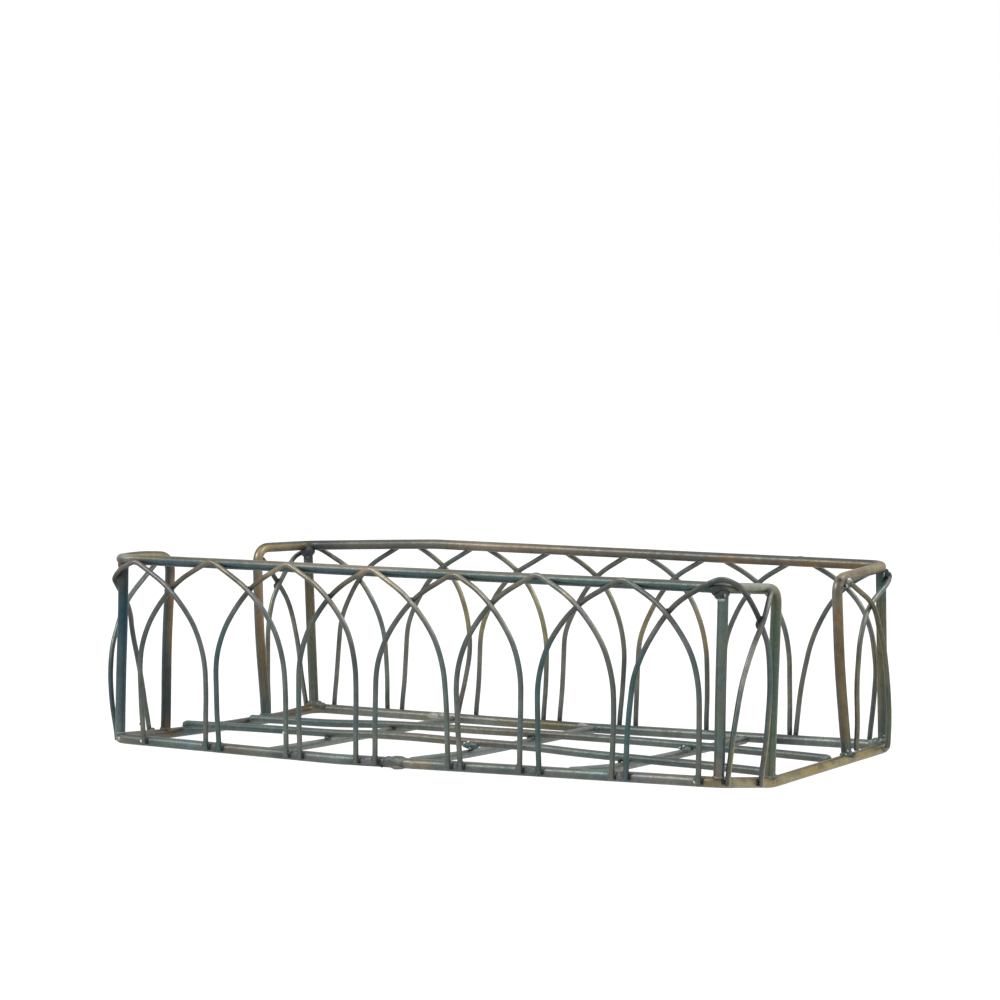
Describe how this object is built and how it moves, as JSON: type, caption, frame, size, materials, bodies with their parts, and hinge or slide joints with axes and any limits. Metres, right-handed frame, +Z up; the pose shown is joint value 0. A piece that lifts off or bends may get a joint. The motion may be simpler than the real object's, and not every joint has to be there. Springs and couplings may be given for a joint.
{
  "type": "napkin holder",
  "caption": "Open rectangular wire tray for folded napkins: welded steel ring, rims and posts, interlaced pointed-arch sides, a floor of rods, and short ends open in the middle.",
  "frame": {"origin": "on the table, under the middle of the tray's bounding box", "axes": "+X along the length, +Y from the front wall to the back wall, +Z up"},
  "size_m": [0.2405, 0.123, 0.0673],
  "materials": {
    "ring_wire": "satin, heat-tinted patina",
    "rim_wire": "satin, heat-tinted patina",
    "post_wire": "satin, heat-tinted patina",
    "floor_rod": "satin, heat-tinted patina",
    "arch_wire": "satin, heat-tinted patina"
  },
  "bodies": {
    "root": {"base_ring": "ring_wire", "front_rim": "rim_wire", "back_rim": "rim_wire", "corner_post_front_left": "post_wire", "corner_post_front_right": "post_wire", "corner_post_back_left": "post_wire", "corner_post_back_right": "post_wire", "cross_rod_left": "floor_rod", "cross_rod_middle": "floor_rod", "cross_rod_right": "floor_rod", "long_rod_front": "floor_rod", "long_rod_back": "floor_rod", "front_arch_1": "arch_wire", "front_arch_2": "arch_wire", "front_arch_3": "arch_wire", "front_arch_4": "arch_wire", "front_arch_5": "arch_wire", "front_arch_6": "arch_wire", "front_arch_7": "arch_wire", "front_arch_8": "arch_wire", "back_arch_1": "arch_wire", "back_arch_2": "arch_wire", "back_arch_3": "arch_wire", "back_arch_4": "arch_wire", "back_arch_5": "arch_wire", "back_arch_6": "arch_wire", "back_arch_7": "arch_wire", "back_arch_8": "arch_wire", "end_arch_front_left": "arch_wire", "end_arch_front_right": "arch_wire", "end_arch_back_left": "arch_wire", "end_arch_back_right": "arch_wire"}
  },
  "joints": []
}
